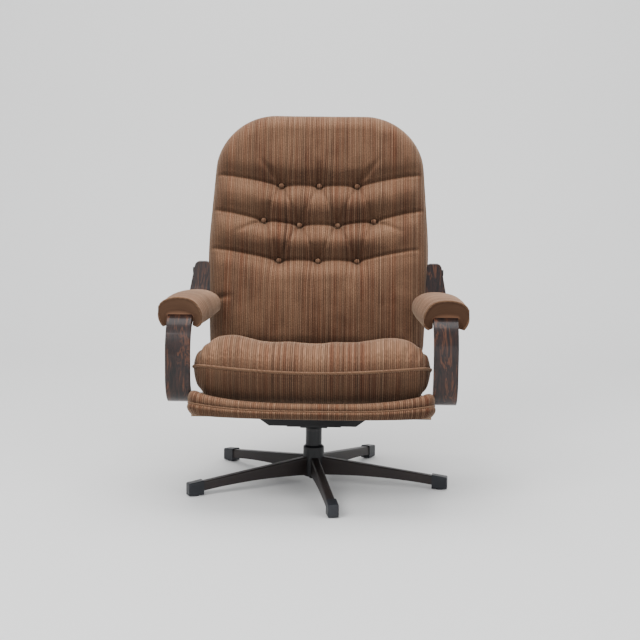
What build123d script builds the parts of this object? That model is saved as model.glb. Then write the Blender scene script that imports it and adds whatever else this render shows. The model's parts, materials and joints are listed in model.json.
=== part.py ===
from build123d import *
from math import cos, radians, sin, tan
import os

# High-backed swivel recliner, in millimetres.  The sitter faces -Y, +X is the right-hand side seen
# from the front, +Z is up and the floor is Z = 0.  The model is laid out with the column on the Z
# axis, then shifted along Y so that the origin is the middle of the whole chair's footprint.

# ---------------------------------------------------------------- five-star base
LEG_COUNT = 5
FIRST_LEG_ANGLE = -80.4          # direction of the front leg in plan, from +X
FOOT_RADIUS = 374.0              # column centre to the outer end of a foot cap
HUB_RADIUS = 29.0
HUB_BOTTOM = 22.0
HUB_TOP = 108.0
HUB_CHAMFER = 5.0
COLUMN_RADIUS = 22.35
COLUMN_WALL = 3.0
LEG_WIDTH = 23.0
LEG_WALL = 2.5
LEG_OPENING = 3.0                # the hollow runs this many walls below the leg
LEG_EDGE_FILLET = 5.0
LEG_ROOT_TOP = 79.0
LEG_ROOT_BOTTOM = 24.0
LEG_TIP_TOP = 33.0
LEG_TIP_BOTTOM = 8.0
LEG_ARCH_HEIGHT = 26.0           # underside at mid length
CAP_LENGTH = 42.0
CAP_WALL = 2.5
CAP_END_WALL = 6.0
CAP_FILLET = 4.0
GLIDE_RADIUS = 11.0
GLIDE_THICKNESS = 3.0
GLIDE_STEM_RADIUS = 4.0
GLIDE_STEM_GAP = 1.0

# ---------------------------------------------------------------- swivel
SPINDLE_RADIUS = 12.5
SPINDLE_RUNNING_FIT = 0.05       # radial
BUSH_LENGTH = 24.0
BUSH_FLANGE = 2.5
THRUST_WASHER = 1.5
SPINDLE_FLANGE = 4.0
CLIP_THICKNESS = 1.5
CLIP_GROOVE_DEPTH = 1.0
CLIP_WIDTH = 4.5
SPINDLE_TAIL = 4.0               # spindle below the clip

# ---------------------------------------------------------------- rubber-torsion tilt unit
TILT_TUBE_RADIUS = 14.0
TILT_TUBE_WALL = 2.5
TILT_TUBE_LENGTH = 150.0
TILT_TUBE_GAP = 2.0              # below the pan's sheet
TILT_THREAD_END = 2.0            # shaft beyond its nuts
TILT_CHEEK_HALF = 22.0
TILT_SHAFT_RADIUS = 7.0
TILT_RUBBER_LENGTH = 60.0
TILT_CHEEK_X = 95.0
TILT_CHEEK_THICKNESS = 4.0
TILT_NUT_THICKNESS = 6.0
TILT_NUT_ACROSS = 19.0
PAN_TOP_HALF_WIDTH = 152.0
PAN_BOTTOM_HALF_WIDTH = 117.0
PAN_FRONT_Y = -155.0
PAN_LENGTH = 285.0
PAN_WALL_LEAN = 25.0             # how far each end of the pan draws in towards its open side
PAN_HEIGHT = 26.0
PAN_SHEET = 3.0
PAN_BOLT_RADIUS = 4.0
PAN_BOLT_HEAD_RADIUS = 6.8
PAN_BOLT_COVER = 4.0             # wood left above the bolt
PAN_BOLT_X = 76.0

# ---------------------------------------------------------------- seat platform
SEAT_SLOPE = 10.0                # platform and cushion drop towards the rear
SEAT_FRONT_Y = -345.0            # front middle of the platform's underside
SEAT_FRONT_Z = 252.0
PLATFORM_HALF_WIDTH = 309.0      # over the bare wooden side rails
PLATFORM_LENGTH = 520.0
PLATFORM_BOW = 66.0              # how far the front edge bows forward of its corners
RAIL_THICKNESS = 22.0
SIDE_RAIL_THICKNESS = 18.0
SIDE_RAIL_HEIGHT = 56.0
LOW_RAIL_HEIGHT = 22.0           # front, rear and cross rails
CROSS_RAIL_WIDTH = 60.0
LIP_HEIGHT = 33.0
SIDE_COVER = 4.0
SOFT_FILLET = 12.0
DUST_COVER = 1.0

# ---------------------------------------------------------------- sliding seat
BOARD_THICKNESS = 12.0
SEAT_TRAVEL = 72.0               # how far the seat can slide forward
BOARD_END = 470.0
BOARD_SIDE_GAP = 5.0
SLIDE_GAP = 0.3
RAIL_GAP = 2.0                   # board above the low rails, and rails behind the lip
GROOVE_DEPTH = 8.0
SEAT_CUSHION_HALF_WIDTH = PLATFORM_HALF_WIDTH - 5.0
SEAT_CUSHION_THICKNESS = 157.0
SEAT_CUSHION_END = 438.0
SEAT_CUSHION_BOW = 48.0
SEAT_CUSHION_FRONT = -4.0
SEAT_CUSHION_ROUND = 60.0
SEAT_CUSHION_CORNER = 66.0

# ---------------------------------------------------------------- bentwood arms
ARM_WIDTH = 63.0
ARM_THICKNESS = 22.0
ARM_FRONT_Y = -280.0
ARM_LIFT = 47.0                  # lower run's centreline above the platform's underside
ARM_TOP_Z = 505.0
ARM_UPPER_RADIUS = 105.0         # outer radii of the two front bends
ARM_LOWER_RADIUS = 80.0
ARM_UPPER_SLOPE = 2.5            # the arm rest drops this much towards the rear
ARM_FOOT_END = 470.0             # rear end of the lower run, along the slope
POST_BEND_RADIUS = 60.0          # centreline radius where the arm turns up into the post
POST_LEAN = 18.0
POST_TOP_Z = 593.0
POST_TOP_INNER_X = 319.0
POST_TOP_OUTER_X = 361.0
POST_CORNER = 14.0
ARM_BOLT_RADIUS = 4.0
ARM_BOLT_DEPTH = 35.0
ARM_BOLT_HEAD_RADIUS = 6.0
ARM_BOLT_HEAD = 3.0
ARM_BOLT_PLACES = (170.0, 300.0, 430.0)

# ---------------------------------------------------------------- arm pads
PAD_FRONT_Y = -215.0
PAD_REAR_Y = 118.0
PAD_TOP_Z = 541.0
PAD_FLAP_BOTTOM = 479.0
PAD_FRONT_INNER_X = 289.0
PAD_FRONT_OUTER_X = 402.0
PAD_REAR_INNER_X = 272.0
PAD_REAR_OUTER_X = 386.0
PAD_CORNER = 20.0

# ---------------------------------------------------------------- backrest
BACK_LEAN = 20.0
BACK_FOOT_Y = 122.0              # lowest point of the front face
BACK_FOOT_Z = 339.0
BACK_LENGTH = 735.0
BACK_FOOT_HALF_WIDTH = PLATFORM_HALF_WIDTH - 7.0
BACK_MAX_HALF_WIDTH = PLATFORM_HALF_WIDTH + 1.0
BACK_SHOULDER_HALF_WIDTH = PLATFORM_HALF_WIDTH - 9.0
BACK_SHOULDER_HEIGHT = 590.0
BACK_BELLY_HEIGHT = 330.0        # where the back is widest
BACK_CUSHION_THICKNESS = 95.0
BACK_CUSHION_ROUND = 30.0
PANEL_THICKNESS = 12.0
PANEL_INSET = 14.0
PANEL_START = 26.0
REAR_PAD_THICKNESS = 22.0
REAR_PAD_START = 78.0
REAR_PAD_INSET = 6.0
BUTTON_RADIUS = 9.5
BUTTON_THICKNESS = 6.0
BUTTON_DEPTH = 16.0              # tuft depth below the cushion's front face
BUTTON_HOLLOW_RADIUS = 18.0
BUTTON_ROWS = (                  # height up the back, then the buttons' distances from the middle
    (285.0, (0.0, 114.0)),
    (393.0, (56.0,)),
    (407.0, (162.0,)),
    (514.0, (0.0, 112.0)),
)

# ---------------------------------------------------------------- recline pivots and seat link
PIVOT_Y = 270.0
PIVOT_Z = 567.0
PIVOT_BOLT_RADIUS = 5.0
PIVOT_HEAD_RADIUS = 9.0
PIVOT_HEAD = 3.0
BOLT_END = 1.0                   # pins and bolts stand this far out of the last plate
PIVOT_BUSH_WALL = 2.5
PIVOT_PLATE = 5.0
PIVOT_PLATE_GAP = 2.0            # between the plate and the back of the post
PIVOT_PLATE_RADIUS = 20.0
PIVOT_FLANGE_LENGTH = 60.0
LINK_PIN_RADIUS = 5.0
LINK_PIN_UP = 5.0                # pin centre, up the back and behind its front face
LINK_PIN_DEPTH = 101.0
LINK_SLOT_CLEARANCE = 0.7
LINK_SLOT_RISE = 13.0            # extra slot length, square to the seat slope
LINK_PLATE = 5.0
LINK_X = 204.0
LINK_PLATE_GAP = 2.0
LINK_EYE_RADIUS = 13.0
LINK_FLANGE = 32.0
POCKET_CLEARANCE = 3.0

# ---------------------------------------------------------------- shared frames and helpers
SLOPE = radians(SEAT_SLOPE)
LEAN = radians(BACK_LEAN)
SEAT = Plane(origin=(0, SEAT_FRONT_Y, SEAT_FRONT_Z), x_dir=(1, 0, 0), z_dir=(0, sin(SLOPE), cos(SLOPE)))
BACK = Plane(origin=(0, BACK_FOOT_Y, BACK_FOOT_Z), x_dir=(1, 0, 0), z_dir=(0, -cos(LEAN), sin(LEAN)))

BOARD_BOTTOM = LOW_RAIL_HEIGHT + RAIL_GAP
BOARD_TOP = BOARD_BOTTOM + BOARD_THICKNESS
RAIL_INNER_X = PLATFORM_HALF_WIDTH - SIDE_RAIL_THICKNESS
BOARD_HALF_WIDTH = RAIL_INNER_X - BOARD_SIDE_GAP
ARM_INNER_X = PLATFORM_HALF_WIDTH + SIDE_COVER
ARM_OUTER_X = ARM_INNER_X + ARM_WIDTH
PANEL_DEPTH = BACK_CUSHION_THICKNESS
REAR_PAD_DEPTH = PANEL_DEPTH + PANEL_THICKNESS


def seat_height(y, above):
    """World Z of the point that lies `above` the platform's underside plane at world Y."""
    return SEAT_FRONT_Z - (y - SEAT_FRONT_Y) * tan(SLOPE) + above / cos(SLOPE)


TILT_Z = seat_height(0.0, -DUST_COVER - PAN_SHEET) - TILT_TUBE_RADIUS - TILT_TUBE_GAP
SPINDLE_SEAT = TILT_Z - TILT_TUBE_RADIUS - SPINDLE_FLANGE
WASHER_TOP = SPINDLE_SEAT - SPINDLE_RUNNING_FIT
FLANGE_TOP = WASHER_TOP - THRUST_WASHER
COLUMN_TOP = FLANGE_TOP - BUSH_FLANGE


def seat_place(y, z):
    """World Y and Z as distance along the slope and height above the platform's underside."""
    dy = y - SEAT_FRONT_Y
    dz = z - SEAT_FRONT_Z
    return dy * cos(SLOPE) - dz * sin(SLOPE), dz * cos(SLOPE) + dy * sin(SLOPE)


def back_point(up, depth):
    """World Y and Z of a point up the back and behind its front face."""
    y = BACK_FOOT_Y + up * sin(LEAN) + depth * cos(LEAN)
    z = BACK_FOOT_Z + up * cos(LEAN) - depth * sin(LEAN)
    return y, z


def back_place(y, z):
    """World Y and Z as height up the back and depth behind its front face."""
    dy = y - BACK_FOOT_Y
    dz = z - BACK_FOOT_Z
    return dy * sin(LEAN) + dz * cos(LEAN), dy * cos(LEAN) - dz * sin(LEAN)


def block(x0, x1, y0, y1, z0, z1):
    return Pos((x0 + x1) / 2, (y0 + y1) / 2, (z0 + z1) / 2) * Box(x1 - x0, y1 - y0, z1 - z0)


def disc(radius, z0, z1):
    return Pos(0, 0, (z0 + z1) / 2) * Cylinder(radius, z1 - z0)


def ring(outer, inner, z0, z1):
    return disc(outer, z0, z1) - disc(inner, z0, z1)


def rod_x(radius, x0, x1, y, z):
    """A round bar along X."""
    return Pos((x0 + x1) / 2, y, z) * Rot(0, 90, 0) * Cylinder(radius, x1 - x0)


def group(solids):
    return Compound([s for shape in solids for s in shape.solids()])


def on_side(part, side):
    """The part made for +X, or its mirror image for the left."""
    if side > 0:
        return part
    return mirror(part, about=Plane.YZ)


def both_sides(part):
    return group([part, on_side(part, -1)])


def around_legs(part):
    """Copies of a part that lies along +X, one for each leg."""
    step = 360 / LEG_COUNT
    return [Rot(0, 0, FIRST_LEG_ANGLE + step * i) * part for i in range(LEG_COUNT)]


# ---------------------------------------------------------------- base
def leg_profile(inset):
    """Side view of a leg in XZ, drawn in by `inset` at the top and carried down to open it below."""
    tip = FOOT_RADIUS - CAP_END_WALL
    drop = -LEG_OPENING * inset
    with BuildSketch(Plane.XZ) as profile:
        with BuildLine():
            top = Line((0, LEG_ROOT_TOP - inset), (tip - inset, LEG_TIP_TOP - inset))
            tip_line = Line(top @ 1, (tip - inset, LEG_TIP_BOTTOM + drop))
            arch = ThreePointArc(tip_line @ 1, (FOOT_RADIUS / 2, LEG_ARCH_HEIGHT + drop),
                                 (0, LEG_ROOT_BOTTOM + drop))
            Line(arch @ 1, top @ 0)
        make_face()
    return profile.sketch


def leg_blank():
    leg = extrude(leg_profile(0.0), LEG_WIDTH / 2, both=True)
    top_edges = leg.edges().filter_by(Axis.Y, reverse=True).filter_by(GeomType.LINE)
    top_edges = [e for e in top_edges if e.center().Z > LEG_TIP_TOP and abs(e.center().Y) > 1 and e.length > 99]
    return fillet(top_edges, LEG_EDGE_FILLET)


def leg():
    hollow = extrude(leg_profile(LEG_WALL), LEG_WIDTH / 2 - LEG_WALL, both=True)
    return leg_blank() - hollow - disc(HUB_RADIUS, 0, HUB_TOP)


def foot_cap():
    slope = (LEG_ROOT_TOP - LEG_TIP_TOP) / (FOOT_RADIUS - CAP_END_WALL)
    start = FOOT_RADIUS - CAP_LENGTH
    end_top = LEG_TIP_TOP + CAP_WALL
    half = LEG_WIDTH / 2 + CAP_WALL
    with BuildSketch(Plane.XZ) as side:
        Polygon((start, GLIDE_THICKNESS), (FOOT_RADIUS, GLIDE_THICKNESS), (FOOT_RADIUS, end_top),
                (start, end_top + slope * CAP_LENGTH), align=None)
    cap = extrude(side.sketch, half, both=True)
    far = [e for e in cap.edges() if e.center().Z > GLIDE_THICKNESS + 1 and e.center().X > start + 1]
    cap = fillet(far, CAP_FILLET)
    hole = Pos(glide_place()) * disc(GLIDE_STEM_RADIUS, 0, LEG_TIP_BOTTOM)
    return cap - leg_blank() - hole


def glide_place():
    return (FOOT_RADIUS - CAP_LENGTH / 2, 0, 0)


def glide():
    stem = disc(GLIDE_STEM_RADIUS, GLIDE_THICKNESS, LEG_TIP_BOTTOM - GLIDE_STEM_GAP)
    return Pos(glide_place()) * (disc(GLIDE_RADIUS, 0, GLIDE_THICKNESS) + stem)


def hub():
    body = disc(HUB_RADIUS, HUB_BOTTOM, HUB_TOP)
    body = chamfer(body.edges().group_by(Axis.Z)[-1], HUB_CHAMFER)
    return body - disc(COLUMN_RADIUS, HUB_BOTTOM, HUB_TOP)


BUSH_BORE = SPINDLE_RADIUS + SPINDLE_RUNNING_FIT
TUBE_BORE = COLUMN_RADIUS - COLUMN_WALL
CLIP_TOP = HUB_BOTTOM - BUSH_FLANGE - SPINDLE_RUNNING_FIT
CLIP_BOTTOM = CLIP_TOP - CLIP_THICKNESS


def upper_bush():
    sleeve = ring(TUBE_BORE, BUSH_BORE, COLUMN_TOP - BUSH_LENGTH, COLUMN_TOP)
    return sleeve + ring(COLUMN_RADIUS, BUSH_BORE, COLUMN_TOP, FLANGE_TOP)


def lower_bush():
    sleeve = ring(TUBE_BORE, BUSH_BORE, HUB_BOTTOM, HUB_BOTTOM + BUSH_LENGTH)
    return sleeve + ring(COLUMN_RADIUS, BUSH_BORE, HUB_BOTTOM - BUSH_FLANGE, HUB_BOTTOM)


# ---------------------------------------------------------------- swivel
def spindle():
    bar = disc(SPINDLE_RADIUS, CLIP_BOTTOM - SPINDLE_TAIL, SPINDLE_SEAT)
    bar += disc(COLUMN_RADIUS, SPINDLE_SEAT, SPINDLE_SEAT + SPINDLE_FLANGE)
    return bar - ring(SPINDLE_RADIUS, SPINDLE_RADIUS - CLIP_GROOVE_DEPTH, CLIP_BOTTOM, CLIP_TOP)


def spindle_clip():
    outer = SPINDLE_RADIUS + CLIP_WIDTH
    inner = SPINDLE_RADIUS - CLIP_GROOVE_DEPTH
    opening = block(0, outer, -inner / 2, inner / 2, CLIP_BOTTOM, CLIP_TOP)
    return ring(outer, inner, CLIP_BOTTOM, CLIP_TOP) - opening


def tilt_housing():
    """The tube that holds the rubber bushes, on a saddle welded to the spindle's flange."""
    half = TILT_TUBE_LENGTH / 2
    tube = rod_x(TILT_TUBE_RADIUS, -half, half, 0, TILT_Z)
    saddle = block(-half / 2, half / 2, -TILT_TUBE_RADIUS, TILT_TUBE_RADIUS,
                   SPINDLE_SEAT + SPINDLE_FLANGE, TILT_Z)
    bore = rod_x(TILT_TUBE_RADIUS - TILT_TUBE_WALL, -half, half, 0, TILT_Z)
    return tube + saddle - bore


# ---------------------------------------------------------------- tilting platform
def tilt_shaft():
    end = TILT_CHEEK_X + TILT_CHEEK_THICKNESS + TILT_NUT_THICKNESS + TILT_THREAD_END
    return rod_x(TILT_SHAFT_RADIUS, -end, end, 0, TILT_Z)


def tilt_rubbers():
    outer = TILT_TUBE_RADIUS - TILT_TUBE_WALL - SPINDLE_RUNNING_FIT
    end = TILT_TUBE_LENGTH / 2
    start = end - TILT_RUBBER_LENGTH
    sleeve = rod_x(outer, start, end, 0, TILT_Z) - rod_x(TILT_SHAFT_RADIUS, start, end, 0, TILT_Z)
    return both_sides(sleeve)


def tilt_nuts():
    start = TILT_CHEEK_X + TILT_CHEEK_THICKNESS
    blank = extrude(RegularPolygon(TILT_NUT_ACROSS / 2, 6, major_radius=False), TILT_NUT_THICKNESS)
    nut = Pos(start, 0, TILT_Z) * Rot(0, 90, 0) * blank
    return both_sides(nut - rod_x(TILT_SHAFT_RADIUS, start, start + TILT_NUT_THICKNESS, 0, TILT_Z))


PAN_START = seat_place(PAN_FRONT_Y, seat_height(PAN_FRONT_Y, 0.0))[0]
PAN_MIDDLE = PAN_START + PAN_LENGTH / 2
PAN_TOP = -DUST_COVER


def pan_tray(inset, top):
    """The pressed tray's shape, drawn in by `inset` on all sides and starting at height `top`."""
    narrow_half = PAN_BOTTOM_HALF_WIDTH - inset
    wide_half = PAN_TOP_HALF_WIDTH - inset
    wide = Pos(0, PAN_MIDDLE, top) * Rectangle(2 * wide_half, PAN_LENGTH - 2 * inset)
    narrow = Pos(0, PAN_MIDDLE, PAN_TOP - PAN_HEIGHT) * Rectangle(
        2 * narrow_half, PAN_LENGTH - 2 * inset - 2 * PAN_WALL_LEAN)
    return loft([narrow, wide])


def pan_bolt_places():
    return [(side * PAN_BOLT_X, s) for side in (-1, 1) for s in cross_rail_places()]


def cross_rail_places():
    reach = PAN_LENGTH / 2 - CROSS_RAIL_WIDTH / 2 - PAN_WALL_LEAN / 2
    return PAN_MIDDLE - reach, PAN_MIDDLE + reach


def tilt_pan():
    shell = pan_tray(0, PAN_TOP) - pan_tray(PAN_SHEET, PAN_TOP - PAN_SHEET)
    for x, s in pan_bolt_places():
        shell -= Pos(x, s, 0) * disc(PAN_BOLT_RADIUS, PAN_TOP - PAN_HEIGHT, PAN_TOP)
    shaft_s, shaft_n = seat_place(0.0, TILT_Z)
    cheek = block(TILT_CHEEK_X, TILT_CHEEK_X + TILT_CHEEK_THICKNESS,
                  shaft_s - TILT_CHEEK_HALF, shaft_s + TILT_CHEEK_HALF,
                  PAN_TOP - PAN_HEIGHT, PAN_TOP - PAN_SHEET)
    pan = SEAT * (shell + cheek + on_side(cheek, -1))
    far = TILT_CHEEK_X + TILT_CHEEK_THICKNESS
    return pan - rod_x(TILT_SHAFT_RADIUS, -far, far, 0, TILT_Z)


def pan_bolts():
    head_top = PAN_TOP - PAN_SHEET
    bolts = []
    for x, s in pan_bolt_places():
        shank = disc(PAN_BOLT_RADIUS, head_top, LOW_RAIL_HEIGHT - PAN_BOLT_COVER)
        head = disc(PAN_BOLT_HEAD_RADIUS, head_top - PAN_BOLT_RADIUS, head_top)
        bolts.append(SEAT * Pos(x, s, 0) * (shank + head))
    return group(bolts)


def bolt_holes(z0, z1):
    return [SEAT * Pos(x, s, 0) * disc(PAN_BOLT_RADIUS, z0, z1) for x, s in pan_bolt_places()]


RAIL_START = PLATFORM_BOW + RAIL_GAP
BOARD_START = RAIL_START + SEAT_TRAVEL + RAIL_GAP


def side_rail():
    rail = block(RAIL_INNER_X, PLATFORM_HALF_WIDTH, RAIL_START, PLATFORM_LENGTH, 0, SIDE_RAIL_HEIGHT)
    rail -= block(RAIL_INNER_X, RAIL_INNER_X + GROOVE_DEPTH, RAIL_START, PLATFORM_LENGTH,
                  BOARD_BOTTOM - SLIDE_GAP, BOARD_TOP + SLIDE_GAP)
    rail = SEAT * rail
    for hole in arm_bolt_bars(ARM_BOLT_RADIUS, RAIL_INNER_X, PLATFORM_HALF_WIDTH):
        rail -= hole
    return rail


def low_rail(s0, s1):
    rail = SEAT * block(-RAIL_INNER_X, RAIL_INNER_X, s0, s1, 0, LOW_RAIL_HEIGHT)
    for hole in bolt_holes(0, LOW_RAIL_HEIGHT - PAN_BOLT_COVER):
        rail -= hole
    return rail


def cross_rail(middle):
    return low_rail(middle - CROSS_RAIL_WIDTH / 2, middle + CROSS_RAIL_WIDTH / 2)


def dust_cover():
    sheet = SEAT * block(-PLATFORM_HALF_WIDTH, PLATFORM_HALF_WIDTH, RAIL_START, PLATFORM_LENGTH, -DUST_COVER, 0)
    for hole in bolt_holes(-DUST_COVER, 0):
        sheet -= hole
    return sheet


def front_lip():
    half = PLATFORM_HALF_WIDTH + SIDE_COVER
    with BuildSketch() as plan:
        with BuildLine():
            bow = ThreePointArc((-half, PLATFORM_BOW), (0, 0), (half, PLATFORM_BOW))
            side = Line(bow @ 1, (half, RAIL_START))
            rear = Line(side @ 1, (-half, RAIL_START))
            Line(rear @ 1, bow @ 0)
        make_face()
    lip = extrude(plan.sketch, LIP_HEIGHT)
    bowed = [e for e in lip.edges() if e.geom_type == GeomType.CIRCLE]
    return SEAT * fillet(bowed, SOFT_FILLET)


def side_cover():
    cover = SEAT * block(PLATFORM_HALF_WIDTH, ARM_INNER_X, RAIL_START, PLATFORM_LENGTH, 0, SIDE_RAIL_HEIGHT)
    for hole in arm_bolt_bars(ARM_BOLT_RADIUS, PLATFORM_HALF_WIDTH, ARM_INNER_X):
        cover -= hole
    return cover


# ---------------------------------------------------------------- arms
def arm_line():
    """Centreline of the bent strip in YZ: foot, front bends, arm rest, post."""
    half = ARM_THICKNESS / 2
    upper_r = ARM_UPPER_RADIUS - half
    lower_r = ARM_LOWER_RADIUS - half
    front = ARM_FRONT_Y + half
    upper_y = ARM_FRONT_Y + ARM_UPPER_RADIUS
    upper_z = ARM_TOP_Z - ARM_UPPER_RADIUS
    lower_y = ARM_FRONT_Y + ARM_LOWER_RADIUS
    lower_z = seat_height(lower_y, ARM_LIFT) + lower_r / cos(SLOPE)
    lower_bend = (radians(90) - SLOPE) / 2
    rest = radians(ARM_UPPER_SLOPE)
    foot_y = SEAT_FRONT_Y + ARM_FOOT_END * cos(SLOPE) + ARM_LIFT * sin(SLOPE)
    foot = (foot_y, seat_height(foot_y, ARM_LIFT))
    low = (lower_y - lower_r * sin(SLOPE), lower_z - lower_r * cos(SLOPE))
    low_mid = (lower_y - lower_r * cos(lower_bend), lower_z - lower_r * sin(lower_bend))
    high = (upper_y + upper_r * sin(rest), upper_z + upper_r * cos(rest))
    high_mid = (upper_y - upper_r * cos(radians(45)), upper_z + upper_r * sin(radians(45)))
    lean = tan(radians(POST_LEAN))
    corner_y = (PIVOT_Y - (PIVOT_Z - high[1] - high[0] * tan(rest)) * lean) / (1 + tan(rest) * lean)
    corner_z = high[1] - (corner_y - high[0]) * tan(rest)
    reach = POST_BEND_RADIUS * tan((radians(90 - POST_LEAN) + rest) / 2)
    bend_in = (corner_y - reach * cos(rest), corner_z + reach * sin(rest))
    bend_out = (corner_y + reach * sin(radians(POST_LEAN)), corner_z + reach * cos(radians(POST_LEAN)))
    top = (PIVOT_Y + (POST_TOP_Z + half - PIVOT_Z) * lean, POST_TOP_Z + half)
    with BuildLine(Plane.YZ) as line:
        Line(foot, low)
        ThreePointArc(low, low_mid, (front, lower_z))
        Line((front, lower_z), (front, upper_z))
        ThreePointArc((front, upper_z), high_mid, high)
        Line(high, bend_in)
        TangentArc(bend_in, bend_out, tangent=(cos(rest), -sin(rest)))
        Line(bend_out, top)
    return line.line


def arm_outline():
    """Front view of the strip: straight, then tapering up the post to rounded corners."""
    with BuildSketch(Plane.XZ) as view:
        Polygon((ARM_INNER_X, 0), (ARM_OUTER_X, 0), (ARM_OUTER_X, ARM_TOP_Z),
                (POST_TOP_OUTER_X, POST_TOP_Z), (POST_TOP_INNER_X, POST_TOP_Z), (ARM_INNER_X, ARM_TOP_Z),
                align=None)
        fillet(view.vertices().group_by(Axis.Z)[-1], POST_CORNER)
    return extrude(view.sketch, 2 * PLATFORM_LENGTH, both=True)


def arm_bolt_bars(radius, x0, x1):
    bars = []
    for s in ARM_BOLT_PLACES:
        y = SEAT_FRONT_Y + s * cos(SLOPE) + ARM_LIFT * sin(SLOPE)
        bars.append(rod_x(radius, x0, x1, y, seat_height(y, ARM_LIFT)))
    return bars


def arm_strip():
    line = arm_line()
    section = Plane(origin=line @ 0, x_dir=(1, 0, 0), z_dir=line % 0) * Rectangle(ARM_WIDTH, ARM_THICKNESS)
    strip = sweep(Pos((ARM_INNER_X + ARM_OUTER_X) / 2, 0, 0) * section, path=line)
    strip = strip & arm_outline()
    for hole in arm_bolt_bars(ARM_BOLT_RADIUS, ARM_INNER_X, ARM_INNER_X + ARM_BOLT_DEPTH):
        strip -= hole
    return strip - rod_x(PIVOT_BOLT_RADIUS, ARM_INNER_X, ARM_OUTER_X, PIVOT_Y, PIVOT_Z)


def arm_bolts():
    shanks = arm_bolt_bars(ARM_BOLT_RADIUS, RAIL_INNER_X, ARM_INNER_X + ARM_BOLT_DEPTH)
    heads = arm_bolt_bars(ARM_BOLT_HEAD_RADIUS, RAIL_INNER_X - ARM_BOLT_HEAD, RAIL_INNER_X)
    return group([both_sides(shank + head) for shank, head in zip(shanks, heads)])


def arm_pad(strip):
    with BuildSketch() as plan:
        Polygon((PAD_FRONT_INNER_X, PAD_FRONT_Y), (PAD_FRONT_OUTER_X, PAD_FRONT_Y),
                (PAD_REAR_OUTER_X, PAD_REAR_Y), (PAD_REAR_INNER_X, PAD_REAR_Y), align=None)
    pad = Pos(0, 0, PAD_FLAP_BOTTOM) * extrude(plan.sketch, PAD_TOP_Z - PAD_FLAP_BOTTOM)
    long_edges = [e for e in pad.edges().group_by(Axis.Z)[-1] if e.length > 0.8 * (PAD_REAR_Y - PAD_FRONT_Y)]
    pad = fillet(long_edges, PAD_CORNER)
    under = block(ARM_INNER_X, ARM_OUTER_X, PAD_FRONT_Y, PAD_REAR_Y, 0, ARM_TOP_Z - ARM_THICKNESS)
    return pad - strip - under


# ---------------------------------------------------------------- backrest
def back_outline(inset, start):
    """The back's front view, drawn in by `inset`, from height `start` up the back."""
    shoulder = BACK_SHOULDER_HALF_WIDTH - inset
    top = BACK_LENGTH - inset
    foot = BACK_FOOT_HALF_WIDTH - inset
    belly = BACK_MAX_HALF_WIDTH - inset
    corner = BACK_LENGTH - BACK_SHOULDER_HEIGHT - inset
    with BuildSketch() as view:
        with BuildLine():
            side = ThreePointArc((foot, start), (belly, BACK_BELLY_HEIGHT), (shoulder, BACK_SHOULDER_HEIGHT))
            bend = corner * cos(radians(45))
            round_corner = ThreePointArc((shoulder, BACK_SHOULDER_HEIGHT),
                                         (shoulder - corner + bend, BACK_SHOULDER_HEIGHT + bend),
                                         (shoulder - corner, top))
            crown = Line(round_corner @ 1, (0, top))
            middle = Line(crown @ 1, (0, start))
            Line(middle @ 1, side @ 0)
        make_face()
        mirror(about=Plane.YZ)
    return view.sketch


def back_block(x0, x1, u0, u1, d0, d1):
    """A block in the back's own frame: sideways, up the back, behind its front face."""
    return BACK * block(x0, x1, u0, u1, -d1, -d0)


LINK_Y, LINK_Z = back_point(LINK_PIN_UP, LINK_PIN_DEPTH)
PIVOT_UP, PIVOT_DEPTH = back_place(PIVOT_Y, PIVOT_Z)
PIVOT_PLATE_OUTER_X = ARM_INNER_X - PIVOT_PLATE_GAP
PIVOT_PLATE_INNER_X = PIVOT_PLATE_OUTER_X - PIVOT_PLATE
LINK_LUG_X = LINK_X + LINK_PLATE + LINK_PLATE_GAP


def button_places():
    for up, sideways in BUTTON_ROWS:
        for x in sideways:
            yield x, up
            if x:
                yield -x, up


def pivot_pocket(side):
    reach = PIVOT_PLATE_RADIUS + POCKET_CLEARANCE
    outer = BACK_MAX_HALF_WIDTH + 1
    pocket = back_block(PIVOT_PLATE_INNER_X - POCKET_CLEARANCE, outer, PIVOT_UP - reach, PIVOT_UP + reach,
                        PIVOT_DEPTH - reach, REAR_PAD_DEPTH + REAR_PAD_THICKNESS)
    pocket += back_block(PIVOT_PLATE_INNER_X - PIVOT_FLANGE_LENGTH, outer, PIVOT_UP - PIVOT_PLATE_RADIUS,
                         PIVOT_UP + PIVOT_PLATE_RADIUS, REAR_PAD_DEPTH, REAR_PAD_DEPTH + PIVOT_PLATE)
    return on_side(pocket, side)


def link_pocket(side):
    reach = LINK_EYE_RADIUS + LINK_SLOT_RISE + POCKET_CLEARANCE
    pocket = back_block(LINK_X - POCKET_CLEARANCE, LINK_LUG_X + LINK_PLATE + POCKET_CLEARANCE, -1,
                        LINK_PIN_UP + reach, LINK_PIN_DEPTH - reach, REAR_PAD_DEPTH + REAR_PAD_THICKNESS)
    return on_side(pocket, side)


def with_pockets(part):
    for side in (-1, 1):
        part = part - pivot_pocket(side) - link_pocket(side)
    return part


def back_cushion():
    body = extrude(back_outline(0, 0), -BACK_CUSHION_THICKNESS)
    front_edges = [e for e in body.edges().group_by(Axis.Z)[-1] if e.center().Y > 1]
    body = fillet(front_edges, BACK_CUSHION_ROUND)
    for x, up in button_places():
        body -= Pos(x, up, 0) * disc(BUTTON_HOLLOW_RADIUS, -BUTTON_DEPTH, 1)
        body -= Pos(x, up, 0) * disc(BUTTON_RADIUS, -BUTTON_DEPTH - BUTTON_THICKNESS / 2, 0)
    return with_pockets(BACK * body)


def back_buttons():
    low = -BUTTON_DEPTH - BUTTON_THICKNESS / 2
    return group([BACK * Pos(x, up, 0) * disc(BUTTON_RADIUS, low, low + BUTTON_THICKNESS)
                  for x, up in button_places()])


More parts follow.
